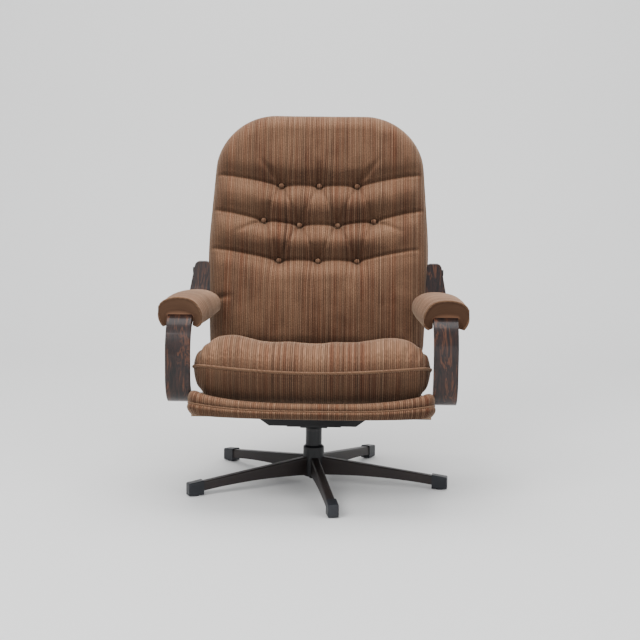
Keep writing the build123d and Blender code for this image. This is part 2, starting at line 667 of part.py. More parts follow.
def back_panel():
    sheet = Pos(0, 0, -PANEL_DEPTH) * extrude(back_outline(PANEL_INSET, PANEL_START), -PANEL_THICKNESS)
    return with_pockets(BACK * sheet)


def rear_pad():
    pad = Pos(0, 0, -REAR_PAD_DEPTH) * extrude(back_outline(REAR_PAD_INSET, REAR_PAD_START), -REAR_PAD_THICKNESS)
    rear_edges = [e for e in pad.edges().group_by(Axis.Z)[0] if e.center().Y > REAR_PAD_START + 1]
    return with_pockets(BACK * fillet(rear_edges, SOFT_FILLET))


def pivot_bracket():
    """Side plate with the pivot eye, and a flange screwed to the panel's edge."""
    x0, x1 = PIVOT_PLATE_INNER_X, PIVOT_PLATE_OUTER_X
    eye = rod_x(PIVOT_PLATE_RADIUS, x0, x1, PIVOT_Y, PIVOT_Z)
    arm = back_block(x0, x1, PIVOT_UP - PIVOT_PLATE_RADIUS, PIVOT_UP + PIVOT_PLATE_RADIUS,
                     PIVOT_DEPTH, PANEL_DEPTH + PANEL_THICKNESS)
    flange = back_block(x0 - PIVOT_FLANGE_LENGTH, x1, PIVOT_UP - PIVOT_PLATE_RADIUS,
                        PIVOT_UP + PIVOT_PLATE_RADIUS, REAR_PAD_DEPTH, REAR_PAD_DEPTH + PIVOT_PLATE)
    bore = rod_x(PIVOT_BOLT_RADIUS + PIVOT_BUSH_WALL, x0, x1, PIVOT_Y, PIVOT_Z)
    return eye + arm + flange - bore


def pivot_bush():
    bore = PIVOT_BOLT_RADIUS + SPINDLE_RUNNING_FIT
    sleeve = rod_x(PIVOT_BOLT_RADIUS + PIVOT_BUSH_WALL, PIVOT_PLATE_INNER_X, PIVOT_PLATE_OUTER_X, PIVOT_Y, PIVOT_Z)
    return sleeve - rod_x(bore, PIVOT_PLATE_INNER_X, PIVOT_PLATE_OUTER_X, PIVOT_Y, PIVOT_Z)


def post_outer_x():
    run = (PIVOT_Z - ARM_TOP_Z) / (POST_TOP_Z - ARM_TOP_Z)
    return ARM_OUTER_X + (POST_TOP_OUTER_X - ARM_OUTER_X) * run


def pivot_bolt(strip):
    face = post_outer_x()
    shank = rod_x(PIVOT_BOLT_RADIUS, PIVOT_PLATE_INNER_X - BOLT_END, face + PIVOT_HEAD, PIVOT_Y, PIVOT_Z)
    head = rod_x(PIVOT_HEAD_RADIUS, face - PIVOT_HEAD, face + PIVOT_HEAD, PIVOT_Y, PIVOT_Z) - strip
    return shank + head.solids().sort_by(SortBy.VOLUME)[-1]


def link_lug():
    """Lug below the panel that carries the link pin, with a flange on the panel's rear face."""
    x0, x1 = LINK_LUG_X, LINK_LUG_X + LINK_PLATE
    top = PANEL_START + LINK_FLANGE
    depth = REAR_PAD_DEPTH
    eye = rod_x(LINK_EYE_RADIUS, x0, x1, LINK_Y, LINK_Z)
    plate = back_block(x0, x1, LINK_PIN_UP, top, depth, depth + LINK_EYE_RADIUS)
    neck = back_block(x0, x1, LINK_PIN_UP - LINK_EYE_RADIUS, LINK_PIN_UP + LINK_EYE_RADIUS,
                      LINK_PIN_DEPTH, depth + LINK_EYE_RADIUS)
    flange = back_block(x0, x1 + LINK_FLANGE, PANEL_START + LINK_FLANGE / 2, top, depth, depth + LINK_PLATE)
    return eye + plate + neck + flange - rod_x(LINK_PIN_RADIUS, x0, x1, LINK_Y, LINK_Z)


def link_pin():
    return rod_x(LINK_PIN_RADIUS, LINK_X - BOLT_END, LINK_LUG_X + LINK_PLATE + BOLT_END, LINK_Y, LINK_Z)


# ---------------------------------------------------------------- sliding seat
def seat_board():
    return SEAT * block(-BOARD_HALF_WIDTH, BOARD_HALF_WIDTH, BOARD_START, BOARD_END, BOARD_BOTTOM, BOARD_TOP)


def slide_strip():
    """Nylon edging on the board that runs in the side rail's groove."""
    end = RAIL_INNER_X + GROOVE_DEPTH - SLIDE_GAP
    return SEAT * block(BOARD_HALF_WIDTH, end, BOARD_START, BOARD_END, BOARD_BOTTOM, BOARD_TOP)


def seat_cushion():
    half = SEAT_CUSHION_HALF_WIDTH
    front = SEAT_CUSHION_FRONT
    corner = front + SEAT_CUSHION_BOW
    with BuildSketch() as plan:
        with BuildLine():
            bow = ThreePointArc((-half, corner), (0, front), (half, corner))
            right = Line(bow @ 1, (half, SEAT_CUSHION_END))
            rear = Line(right @ 1, (-half, SEAT_CUSHION_END))
            Line(rear @ 1, bow @ 0)
        make_face()
        fillet(plan.vertices(), SEAT_CUSHION_CORNER)
    body = Pos(0, 0, BOARD_TOP) * extrude(plan.sketch, SEAT_CUSHION_THICKNESS)
    rims = body.edges().group_by(Axis.Z)
    return SEAT * fillet(list(rims[0]) + list(rims[-1]), SEAT_CUSHION_ROUND)


def drive_arm():
    """Steel arm from the seat board's rear up to the slot that the link pin pushes."""
    x0, x1 = LINK_X, LINK_X + LINK_PLATE
    s, n = seat_place(LINK_Y, LINK_Z)
    slot_r = LINK_PIN_RADIUS + LINK_SLOT_CLEARANCE
    low, high = n - LINK_SLOT_CLEARANCE, n + LINK_SLOT_RISE
    start = SEAT_CUSHION_END + POCKET_CLEARANCE
    with BuildSketch(Plane.YZ) as side:
        Polygon((start, BOARD_TOP), (BOARD_END, BOARD_TOP), (s + LINK_EYE_RADIUS, low),
                (s - LINK_EYE_RADIUS, low), (start, BOARD_TOP + LINK_EYE_RADIUS), align=None)
        with Locations((s, (low + high) / 2)):
            SlotCenterToCenter(high - low, 2 * LINK_EYE_RADIUS, rotation=90)
        with Locations((s, (low + high) / 2)):
            SlotCenterToCenter(high - low, 2 * slot_r, rotation=90, mode=Mode.SUBTRACT)
    plate = Pos(x0, 0, 0) * extrude(side.sketch, x1 - x0)
    foot = block(x0 - LINK_FLANGE, x0, start, BOARD_END, BOARD_TOP, BOARD_TOP + LINK_PLATE)
    return SEAT * (plate + foot)


# ---------------------------------------------------------------- assembly
def build_parts():
    parts = {
        "base_hub": hub(),
        "column_tube": ring(COLUMN_RADIUS, TUBE_BORE, HUB_BOTTOM, COLUMN_TOP),
        "column_bush_upper": upper_bush(),
        "column_bush_lower": lower_bush(),
        "foot_caps": group(around_legs(foot_cap())),
        "foot_glides": group(around_legs(glide())),
        "thrust_washer": ring(COLUMN_RADIUS, BUSH_BORE, FLANGE_TOP, WASHER_TOP),
        "spindle": spindle(),
        "spindle_clip": spindle_clip(),
        "tilt_housing": tilt_housing(),
        "tilt_shaft": tilt_shaft(),
        "tilt_rubbers": tilt_rubbers(),
        "tilt_nuts": tilt_nuts(),
        "tilt_pan": tilt_pan(),
        "pan_bolts": pan_bolts(),
        "dust_cover": dust_cover(),
        "rail_front": low_rail(RAIL_START, RAIL_START + RAIL_THICKNESS),
        "rail_rear": low_rail(PLATFORM_LENGTH - RAIL_THICKNESS, PLATFORM_LENGTH),
        "platform_lip": front_lip(),
        "arm_bolts": arm_bolts(),
        "back_cushion": back_cushion(),
        "back_buttons": back_buttons(),
        "back_panel": back_panel(),
        "back_rear_pad": rear_pad(),
        "seat_board": seat_board(),
        "seat_cushion": seat_cushion(),
    }
    for i, one_leg in enumerate(around_legs(leg()), start=1):
        parts[f"leg_{i}"] = one_leg
    for name, middle in zip(("front", "rear"), cross_rail_places()):
        parts[f"cross_rail_{name}"] = cross_rail(middle)
    strip = arm_strip()
    handed = {
        "rail": side_rail(),
        "side_cover": side_cover(),
        "arm": strip,
        "arm_pad": arm_pad(strip),
        "pivot_bolt": pivot_bolt(strip),
        "pivot_bush": pivot_bush(),
        "pivot_bracket": pivot_bracket(),
        "link_lug": link_lug(),
        "link_pin": link_pin(),
        "slide_strip": slide_strip(),
        "drive_arm": drive_arm(),
    }
    for name, part in handed.items():
        parts[f"{name}_right"] = part
        parts[f"{name}_left"] = on_side(part, -1)
    return parts


def origin_shift(parts):
    """How far to move everything along Y so that the origin is the middle of the footprint."""
    boxes = [part.bounding_box() for part in parts.values()]
    return -round((min(b.min.Y for b in boxes) + max(b.max.Y for b in boxes)) / 2)


os.makedirs("parts", exist_ok=True)
model = build_parts()
shift = origin_shift(model)
print("column axis at Y =", shift)
for node, shape in model.items():
    export_step(Pos(0, shift, 0) * shape, f"parts/{node}.step")
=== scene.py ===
import json
import math

import bpy
from mathutils import Matrix, Vector, kdtree, noise


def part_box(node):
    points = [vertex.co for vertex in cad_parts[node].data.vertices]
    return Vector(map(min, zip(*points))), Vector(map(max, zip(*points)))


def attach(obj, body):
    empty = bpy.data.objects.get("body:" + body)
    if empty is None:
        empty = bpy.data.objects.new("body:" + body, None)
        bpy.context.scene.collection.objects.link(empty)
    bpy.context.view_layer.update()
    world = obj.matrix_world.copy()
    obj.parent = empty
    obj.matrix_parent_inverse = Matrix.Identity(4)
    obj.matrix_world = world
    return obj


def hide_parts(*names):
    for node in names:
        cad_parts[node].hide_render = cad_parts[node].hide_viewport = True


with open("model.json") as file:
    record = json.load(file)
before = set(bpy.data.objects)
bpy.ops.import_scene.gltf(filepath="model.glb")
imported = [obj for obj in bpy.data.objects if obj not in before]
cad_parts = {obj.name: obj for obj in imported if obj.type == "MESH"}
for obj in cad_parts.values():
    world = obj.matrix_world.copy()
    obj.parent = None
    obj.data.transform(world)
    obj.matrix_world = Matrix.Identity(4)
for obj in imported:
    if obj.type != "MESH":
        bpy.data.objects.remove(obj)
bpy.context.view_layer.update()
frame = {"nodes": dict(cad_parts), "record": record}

# ---------------------------------------------------------------- frames taken from the CAD model
JOINTS = {joint["name"]: joint for joint in frame["record"]["behaviour"]["joints"]}
COLUMN_Y = JOINTS["swivel"]["pos_m"][1]
SLIDE = Vector(JOINTS["seat_slide"]["axis"])
SLOPE = math.atan2(SLIDE.z, -SLIDE.y)
LEAN = math.radians(20.0)

SEAT_ORIGIN = Vector((0.0, -0.345 + COLUMN_Y, 0.252))
BACK_ORIGIN = Vector((0.0, 0.122 + COLUMN_Y, 0.339))


def seat_point(x, along, above):
    """A point by distance along the seat's slope and height above the platform's underside."""
    c, s = math.cos(SLOPE), math.sin(SLOPE)
    return SEAT_ORIGIN + Vector((x, along * c + above * s, above * c - along * s))


def back_point(x, up, depth):
    """A point by height up the back and depth behind its front face."""
    c, s = math.cos(LEAN), math.sin(LEAN)
    return BACK_ORIGIN + Vector((x, up * s + depth * c, up * c - depth * s))


# ---------------------------------------------------------------- mesh helpers
def mesh_piece(name, verts, faces, material, body, stripes=None, subdivide=0):
    mesh = bpy.data.meshes.new(name)
    mesh.from_pydata([tuple(v) for v in verts], [], faces)
    mesh.validate()
    if stripes is not None:
        layer = mesh.attributes.new("stripe", "FLOAT_VECTOR", "POINT")
        for i, value in enumerate(stripes):
            layer.data[i].vector = value
    mesh.polygons.foreach_set("use_smooth", [True] * len(mesh.polygons))
    piece = bpy.data.objects.new(name, mesh)
    bpy.context.scene.collection.objects.link(piece)
    mesh.materials.append(material)
    if subdivide:
        modifier = piece.modifiers.new("smooth", "SUBSURF")
        modifier.levels = modifier.render_levels = subdivide
    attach(piece, body)
    return piece


def loft(rings, closed_ring=True, caps=True):
    """Vertices and faces through rings of equal length; closed ends are fanned to their middles."""
    verts = [p for ring in rings for p in ring]
    size = len(rings[0])
    faces = []
    span = size if closed_ring else size - 1
    for r in range(len(rings) - 1):
        for k in range(span):
            a, b = r * size + k, r * size + (k + 1) % size
            faces.append((a, b, b + size, a + size))
    if caps:
        for first, ring, flip in ((0, rings[0], True), ((len(rings) - 1) * size, rings[-1], False)):
            middle = sum((Vector(p) for p in ring), Vector()) / size
            verts.append(middle)
            for k in range(size):
                a, b = first + k, first + (k + 1) % size
                faces.append((b, a, len(verts) - 1) if flip else (a, b, len(verts) - 1))
    return verts, faces


def tube(points, radius, sides=10, closed=False):
    """Rings of a round tube along a path."""
    rings = []
    count = len(points)
    for i, point in enumerate(points):
        before = points[i - 1] if (closed or i) else points[i]
        after = points[(i + 1) % count] if (closed or i + 1 < count) else points[i]
        along = (after - before).normalized()
        across = along.cross(Vector((0.0, 0.0, 1.0)))
        if across.length < 0.1:
            across = along.cross(Vector((1.0, 0.0, 0.0)))
        across.normalize()
        other = along.cross(across)
        turn = [2 * math.pi * k / sides for k in range(sides)]
        rings.append([point + (across * math.cos(a) + other * math.sin(a)) * radius for a in turn])
    if closed:
        rings.append(rings[0])
    return loft(rings, caps=not closed)


def rounded_outline(corners, radii, step=0.004):
    """A closed outline through corners with rounded turns, at even spacing; corners are (x, y)."""
    points = []
    count = len(corners)
    for i, corner in enumerate(corners):
        here = Vector(corner)
        to_last = (Vector(corners[i - 1]) - here).normalized()
        to_next = (Vector(corners[(i + 1) % count]) - here).normalized()
        half = to_last.angle(to_next) / 2
        reach = radii[i] / math.tan(half)
        start, end = here + to_last * reach, here + to_next * reach
        bisector = (to_last + to_next).normalized()
        centre = here + bisector * (radii[i] / math.sin(half))
        a0 = math.atan2(*(start - centre).yx)
        sweep = (math.atan2(*(end - centre).yx) - a0 + math.pi) % (2 * math.pi) - math.pi
        turns = max(2, int(abs(sweep) * radii[i] / step))
        for k in range(turns + 1):
            angle = a0 + sweep * k / turns
            points.append(centre + Vector((math.cos(angle), math.sin(angle))) * radii[i])
    return even_outline(points, step)


def even_outline(points, step):
    """The same closed outline with points every `step`."""
    total = []
    count = len(points)
    carry = 0.0
    for i, point in enumerate(points):
        after = points[(i + 1) % count]
        length = (after - point).length
        while carry < length:
            total.append(point.lerp(after, carry / length))
            carry += step
        carry -= length
    return total


def pillow(outline, centre, rings, place, front, rear):
    """A closed cushion: rings shrink from the outline to its centre on both faces.

    `front(x, y, edge)` and `rear(x, y, edge)` give each face's height at a distance `edge` from the
    outline.  Returns vertices, faces and the flat (x, y) of each vertex.
    """
    tree = kdtree.KDTree(len(outline))
    for i, point in enumerate(outline):
        tree.insert((point.x, point.y, 0.0), i)
    tree.balance()

    def layer(share, height):
        ring, flat = [], []
        for point in outline:
            spot = centre.lerp(point, share)
            edge = tree.find((spot.x, spot.y, 0.0))[2] if share < 1 else 0.0
            ring.append(place(spot.x, spot.y, height(spot.x, spot.y, edge)))
            flat.append((spot.x, spot.y))
        return ring, flat

    shares = [math.sin(math.pi / 2 * k / rings) for k in range(1, rings + 1)]
    stack = [layer(share, front) for share in shares]
    stack += [layer(share, rear) for share in reversed(shares[:-1])]
    verts, faces = loft([ring for ring, _ in stack])
    flats = [point for _, flat in stack for point in flat] + [tuple(centre)] * 2
    return verts, faces, flats


def cord_stripes(verts, pitch):
    """Stripe coordinates for a covered cord, one step of `pitch` for each vertex."""
    return [(i * pitch, 0.0, 0.0) for i in range(len(verts))]


def dome(edge, radius):
    """0 at the rim, 1 past `radius` from it, round between."""
    share = 1 - min(edge, radius) / radius
    return math.sqrt(max(0.0, 1 - share * share))


def bump(distance, width):
    return math.exp(-(distance / width) ** 2)


def segment_place(x, y, a, b):
    """Distance from (x, y) to the segment a-b, and how far along it the nearest point is."""
    ax, ay = a
    dx, dy = b[0] - ax, b[1] - ay
    share = ((x - ax) * dx + (y - ay) * dy) / (dx * dx + dy * dy)
    share = min(1.0, max(0.0, share))
    return math.hypot(x - ax - dx * share, y - ay - dy * share), share


# ---------------------------------------------------------------- materials
def new_material(name):
    material = bpy.data.materials.new(name)
    material.use_nodes = True
    tree = material.node_tree
    shader = tree.nodes["Principled BSDF"]
    return material, tree, shader


def node(tree, kind, **inputs):
    made = tree.nodes.new(kind)
    for key, value in inputs.items():
        made.inputs[key.replace("_", " ")].default_value = value
    return made


def ramp(tree, source, stops, interpolation="LINEAR"):
    made = tree.nodes.new("ShaderNodeValToRGB")
    made.color_ramp.interpolation = interpolation
    while len(made.color_ramp.elements) < len(stops):
        made.color_ramp.elements.new(0.5)
    for element, (place, colour) in zip(made.color_ramp.elements, stops):
        element.position = place
        element.color = (*colour, 1.0)
    tree.links.new(source, made.inputs["Fac"])
    return made.outputs["Color"]


def maths(tree, operation, *values):
    """A maths node fed with numbers or other nodes' outputs."""
    made = tree.nodes.new("ShaderNodeMath")
    made.operation = operation
    for socket, value in zip(made.inputs, values):
        if isinstance(value, (int, float)):
            socket.default_value = value
        else:
            tree.links.new(value, socket)
    return made.outputs[0]


def mix(tree, share, first, second, blend="MIX"):
    made = tree.nodes.new("ShaderNodeMix")
    made.data_type = "RGBA"
    made.blend_type = blend
    for socket, value in ((made.inputs["Factor"], share), (made.inputs[6], first), (made.inputs[7], second)):
        if isinstance(value, (int, float)):
            socket.default_value = value
        elif isinstance(value, tuple):
            socket.default_value = (*value, 1.0)
        else:
            tree.links.new(value, socket)
    return made.outputs[2]


def scaled(tree, source, scale):
    made = tree.nodes.new("ShaderNodeMapping")
    made.inputs["Scale"].default_value = scale
    tree.links.new(source, made.inputs["Vector"])
    return made.outputs["Vector"]


def noise_of(tree, vector, scale, detail=2.0, rough=0.5):
    made = node(tree, "ShaderNodeTexNoise", Scale=scale, Detail=detail, Roughness=rough)
    tree.links.new(vector, made.inputs["Vector"])
    return made.outputs["Fac"]


DARK = (0.024, 0.0120, 0.0072)
BROWN = (0.078, 0.040, 0.0240)
TAN = (0.185, 0.104, 0.060)
PALE = (0.265, 0.165, 0.106)
RED = (0.100, 0.036, 0.018)
WALE = 0.0052                    # rib to rib
BAND = 0.0152                    # pale line to pale line


def corduroy(name, piping=False):
    """Striped, ribbed velour: stripes run along the second axis of the `stripe` coordinate."""
    material, tree, shader = new_material(name)
    coordinate = tree.nodes.new("ShaderNodeAttribute")
    coordinate.attribute_name = "stripe"
    flat = coordinate.outputs["Vector"]
    split = tree.nodes.new("ShaderNodeSeparateXYZ")
    tree.links.new(flat, split.inputs[0])
    across = split.outputs["X"]
    line = scaled(tree, flat, (1.0, 0.0, 0.0))
    streak = noise_of(tree, line, 130.0, 3.0, 0.65)
    band = noise_of(tree, line, 48.0, 2.0, 0.6)
    wear = noise_of(tree, scaled(tree, flat, (1.0, 0.35, 1.0)), 11.0, 4.0, 0.6)
    nap = noise_of(tree, scaled(tree, flat, (1.0, 0.45, 1.0)), 520.0, 2.0, 0.7)
    rib = maths(tree, "SINE", maths(tree, "MULTIPLY", across, 2 * math.pi / WALE))
    rib = maths(tree, "MULTIPLY_ADD", rib, 0.5, 0.5)
    pale_line = maths(tree, "COSINE", maths(tree, "MULTIPLY", across, 2 * math.pi / BAND))
    pale_line = ramp(tree, pale_line, ((0.35, (0.0,) * 3), (0.95, (1.0,) * 3)))
    pale_streak = ramp(tree, streak, ((0.34, (0.04,) * 3), (0.70, (0.50,) * 3)))
    pale_share = maths(tree, "MULTIPLY", pale_line, pale_streak)
    colour = ramp(tree, streak, ((0.30, DARK), (0.48, BROWN), (0.66, TAN)))
    colour = mix(tree, ramp(tree, band, ((0.38, (0.65,) * 3), (0.60, (0.0,) * 3))), colour, RED)
    colour = mix(tree, pale_share, colour, PALE)
    colour = mix(tree, ramp(tree, wear, ((0.38, (0.0,) * 3), (0.68, (0.60,) * 3))), colour, TAN)
    # painted shade and painted light of the ribs: the colour is darkened in the rib grooves and lightened on
    # their crests; the same rib wave also drives the bump below
    colour = mix(tree, 0.55, colour, ramp(tree, rib, ((0.15, (0.45,) * 3), (0.75, (1.35,) * 3))), "MULTIPLY")
    colour = mix(tree, 0.60, colour, ramp(tree, nap, ((0.32, (0.45,) * 3), (0.68, (1.60,) * 3))), "MULTIPLY")
    # painted light and shade: surfaces facing up are painted lighter and surfaces facing down darker, as
    # light from above falls
    facing = tree.nodes.new("ShaderNodeNewGeometry").outputs["Normal"]
    upward = tree.nodes.new("ShaderNodeSeparateXYZ")
    tree.links.new(facing, upward.inputs[0])
    shade = ramp(tree, upward.outputs["Z"], ((0.0, (0.50,) * 3), (0.34, (0.90,) * 3), (0.75, (1.55,) * 3)))
    colour = mix(tree, 1.0, colour, shade, "MULTIPLY")
    if piping:
        colour = mix(tree, 0.35, colour, TAN)
    tree.links.new(colour, shader.inputs["Base Color"])
    shader.inputs["Roughness"].default_value = 0.92
    shader.inputs["Specular IOR Level"].default_value = 0.12
    shader.inputs["Sheen Weight"].default_value = 0.42
    shader.inputs["Sheen Roughness"].default_value = 0.32
    shader.inputs["Sheen Tint"].default_value = (0.88, 0.64, 0.46, 1.0)
    height = maths(tree, "ADD", rib, maths(tree, "MULTIPLY", nap, 1.2))
    relief = node(tree, "ShaderNodeBump", Strength=0.6, Distance=0.0012)
    tree.links.new(height, relief.inputs["Height"])
    tree.links.new(relief.outputs["Normal"], shader.inputs["Normal"])
    return material


def stained_wood():
    """Dark-stained lacquered beech strip; the grain runs along the arm."""
    material, tree, shader = new_material("stained_beech")
    place = tree.nodes.new("ShaderNodeTexCoord").outputs["Object"]
    grain = noise_of(tree, scaled(tree, place, (150.0, 9.0, 9.0)), 1.0, 4.0, 0.6)
    figure = node(tree, "ShaderNodeTexNoise", Scale=1.0, Detail=3.0, Roughness=0.6, Distortion=1.6)
    tree.links.new(scaled(tree, place, (52.0, 9.0, 9.0)), figure.inputs["Vector"])
    pores = noise_of(tree, scaled(tree, place, (700.0, 40.0, 40.0)), 1.0, 2.0, 0.6)
    colour = ramp(tree, figure.outputs["Fac"], ((0.34, (0.004, 0.003, 0.003)), (0.46, (0.026, 0.010, 0.007)),
                                                (0.52, (0.008, 0.005, 0.005)), (0.60, (0.085, 0.030, 0.014)),
                                                (0.68, (0.012, 0.006, 0.005))))
    colour = mix(tree, 0.7, colour, ramp(tree, grain, ((0.35, (0.45,) * 3), (0.65, (1.4,) * 3))), "MULTIPLY")
    colour = mix(tree, 0.4, colour, ramp(tree, pores, ((0.35, (0.35,) * 3), (0.6, (1.0,) * 3))), "MULTIPLY")
    tree.links.new(colour, shader.inputs["Base Color"])
    shader.inputs["Roughness"].default_value = 0.36
    shader.inputs["Specular IOR Level"].default_value = 0.25
    shader.inputs["Coat Weight"].default_value = 0.22
    shader.inputs["Coat Roughness"].default_value = 0.10
    relief = node(tree, "ShaderNodeBump", Strength=0.15, Distance=0.0004)
    tree.links.new(pores, relief.inputs["Height"])
    tree.links.new(relief.outputs["Normal"], shader.inputs["Normal"])
    return material


SPECKLE_RELIEF = 0.0002


def speckled(name, colour, worn, roughness, metallic=0.0, scale=180.0):
    """A plain finish with the slight unevenness and dust of a real one."""
    material, tree, shader = new_material(name)
    place = tree.nodes.new("ShaderNodeTexCoord").outputs["Object"]
    fine = noise_of(tree, place, scale, 3.0)
    broad = noise_of(tree, place, 9.0, 4.0)
    mixed = mix(tree, ramp(tree, broad, ((0.45, (0.0,) * 3), (0.75, (0.8,) * 3))), colour, worn)
    tree.links.new(mixed, shader.inputs["Base Color"])
    rough = maths(tree, "ADD", maths(tree, "MULTIPLY", broad, 0.25), roughness - 0.12)
    tree.links.new(rough, shader.inputs["Roughness"])
    shader.inputs["Metallic"].default_value = metallic
    shader.inputs["Specular IOR Level"].default_value = 0.35
    relief = node(tree, "ShaderNodeBump", Strength=0.4, Distance=SPECKLE_RELIEF)
    tree.links.new(fine, relief.inputs["Height"])
    tree.links.new(relief.outputs["Normal"], shader.inputs["Normal"])
    return material


def bare_wood():
    material, tree, shader = new_material("frame_wood")
    place = tree.nodes.new("ShaderNodeTexCoord").outputs["Object"]
    grain = noise_of(tree, scaled(tree, place, (6.0, 80.0, 80.0)), 1.0, 4.0)
    colour = ramp(tree, grain, ((0.3, (0.20, 0.115, 0.060)), (0.7, (0.32, 0.200, 0.110))))
    tree.links.new(colour, shader.inputs["Base Color"])
    shader.inputs["Roughness"].default_value = 0.6
    return material


FABRIC = corduroy("corduroy")
PIPING = corduroy("corduroy_piping", piping=True)
MATERIALS = {
    "stained_beech": stained_wood(),
    "frame_wood": bare_wood(),
    "leg_enamel": speckled("leg_enamel", (0.013, 0.0085, 0.0078), (0.026, 0.018, 0.016), 0.46),
    "black_enamel": speckled("black_enamel", (0.006, 0.006, 0.007), (0.014, 0.013, 0.013), 0.42),
    "foot_plastic": speckled("foot_plastic", (0.008, 0.009, 0.012), (0.020, 0.021, 0.025), 0.42),
    "rubber": speckled("rubber", (0.015, 0.015, 0.015), (0.03, 0.03, 0.03), 0.8),
    "dust_cloth": speckled("dust_cloth", (0.012, 0.012, 0.013), (0.03, 0.03, 0.03), 0.9, scale=900.0),
    "nylon": speckled("nylon", (0.020, 0.019, 0.019), (0.045, 0.042, 0.040), 0.5),
    "steel": speckled("steel", (0.22, 0.22, 0.23), (0.15, 0.15, 0.15), 0.40, metallic=1.0),
    "corduroy": FABRIC,
}
for part in frame["record"]["subparts"]:
    cad_object = frame["nodes"][part["node"]]
    cad_object.data.materials.clear()
    cad_object.data.materials.append(MATERIALS[part["material_slot"]])


# ---------------------------------------------------------------- backrest
BACK_HALF_FOOT = 0.305
BACK_HALF_BELLY = 0.323
BACK_HALF_SHOULDER = 0.298
BACK_TOP = 0.744
BACK_CORNER = 0.175
BACK_FOOT_ROUND = 0.045
BACK_RIM = 0.058                 # depth of the side seam behind the front face
BACK_REAR = 0.1070
BACK_MIDDLE = 0.37               # height that the pillow and its outlines shrink towards
REAR_PAD_SCALE = 0.985
REAR_PAD_INNER = 0.1065
REAR_PAD_OUTER = 0.1275
BUTTON_SINK = 0.0215
BUTTON_SIDES = 24
BUTTON_SECTION = ((0.004, 0.0075), (0.0, 0.0084), (-0.0022, 0.0076),     # height and radius of each ring
                  (-0.0036, 0.0052), (-0.0042, 0.0022))
ROW_LOW = 0.285
ROW_MIDDLE_INNER = 0.393
ROW_MIDDLE_OUTER = 0.407
ROW_HIGH = 0.514
BUTTONS = [(x, ROW_LOW) for x in (-0.114, 0.0, 0.114)]
BUTTONS += [(-0.162, ROW_MIDDLE_OUTER), (-0.056, ROW_MIDDLE_INNER),
            (0.056, ROW_MIDDLE_INNER), (0.162, ROW_MIDDLE_OUTER)]
BUTTONS += [(x, ROW_HIGH) for x in (-0.112, 0.0, 0.112)]


def pull_line(points, start, end):
    """Segments of a sewn pull through `points`, each with the strength at its two ends."""
    steps = len(points) - 1
    return [(points[i], points[i + 1], start[i], end[i]) for i in range(steps)]


CREASES = []
CREASES += pull_line([(-0.300, 0.548), (-0.112, ROW_HIGH), (0.0, ROW_HIGH), (0.112, ROW_HIGH),
                      (0.300, 0.552)],
                     (0.75, 1.0, 1.0, 1.0), (1.0, 1.0, 1.0, 0.75))
CREASES += pull_line([(-0.312, 0.440), (-0.162, ROW_MIDDLE_OUTER), (-0.056, ROW_MIDDLE_INNER),
                      (0.056, ROW_MIDDLE_INNER), (0.162, ROW_MIDDLE_OUTER), (0.312, 0.444)],
                     (0.85, 1.0, 0.9, 0.9, 1.0), (1.0, 0.9, 0.9, 1.0, 0.85))
CREASES += pull_line([(-0.314, 0.322), (-0.114, ROW_LOW), (0.0, ROW_LOW), (0.114, ROW_LOW), (0.290, 0.318)],
                     (0.7, 1.0, 0.9, 0.9), (1.0, 0.9, 0.9, 0.25))
PLEATS = [((-0.112, ROW_HIGH), (-0.056, ROW_MIDDLE_INNER)), ((0.112, ROW_HIGH), (0.056, ROW_MIDDLE_INNER)),
          ((0.0, ROW_HIGH), (-0.056, ROW_MIDDLE_INNER)), ((0.0, ROW_HIGH), (0.056, ROW_MIDDLE_INNER)),
          ((-0.112, ROW_HIGH), (-0.162, ROW_MIDDLE_OUTER)), ((0.112, ROW_HIGH), (0.162, ROW_MIDDLE_OUTER)),
          ((-0.056, ROW_MIDDLE_INNER), (-0.114, ROW_LOW)), ((0.056, ROW_MIDDLE_INNER), (0.114, ROW_LOW)),
          ((-0.056, ROW_MIDDLE_INNER), (0.0, ROW_LOW)), ((0.056, ROW_MIDDLE_INNER), (0.0, ROW_LOW)),
          ((-0.162, ROW_MIDDLE_OUTER), (-0.114, ROW_LOW)), ((0.162, ROW_MIDDLE_OUTER), (0.114, ROW_LOW))]
TUCKS = [((-0.112, ROW_HIGH), (-0.185, 0.600)), ((0.112, ROW_HIGH), (0.190, 0.605)),
         ((0.0, ROW_HIGH), (0.0, 0.585)), ((-0.162, ROW_MIDDLE_OUTER), (-0.250, 0.360)),
         ((0.162, ROW_MIDDLE_OUTER), (0.255, 0.365)), ((-0.298, 0.165), (-0.240, 0.172))]


def tuft_depth(x, up):
    """How far the buttons, sewn rows and pleats pull the front face in at a point."""
    depth = 0.0
    for bx, bu in BUTTONS:
        reach = math.hypot(x - bx, up - bu)
        depth += 0.009 * bump(reach, 0.015) + 0.010 * bump(reach, 0.042)
    rows = 0.0
    for a, b, at_start, at_end in CREASES:
        reach, share = segment_place(x, up, a, b)
        strength = at_start + (at_end - at_start) * share
        rows = max(rows, strength * (0.0105 * bump(reach, 0.0050) + 0.0150 * bump(reach, 0.030)))
    pleats = 0.0
    for a, b in PLEATS:
        reach, share = segment_place(x, up, a, b)
        strength = 0.35 + 0.65 * abs(2 * share - 1)
        pleats = max(pleats, strength * (0.0045 * bump(reach, 0.0050) + 0.0045 * bump(reach, 0.016)))
    for a, b in TUCKS:
        reach, share = segment_place(x, up, a, b)
        pleats = max(pleats, (1 - share) * 0.0095 * bump(reach, 0.0085))
    return depth + rows + pleats


def soft_noise(x, y, size, seed):
    return noise.noise(Vector((x / size, y / size, seed)))


def back_front(x, up, edge):
    round_in = dome(edge, 0.062)
    crown = 0.016 * dome(edge, 0.16)
    low = 1.0 - min(1.0, max(0.0, (up - 0.05) / 0.12))
    wave = 0.0022 * soft_noise(x, up, 0.09, 3.1) + 0.0009 * soft_noise(x, up, 0.03, 8.4)
    sink = tuft_depth(x, up) * min(1.0, edge / 0.035)
    return BACK_RIM * (1 - round_in) - crown + 0.004 + sink + wave * round_in + 0.004 * low


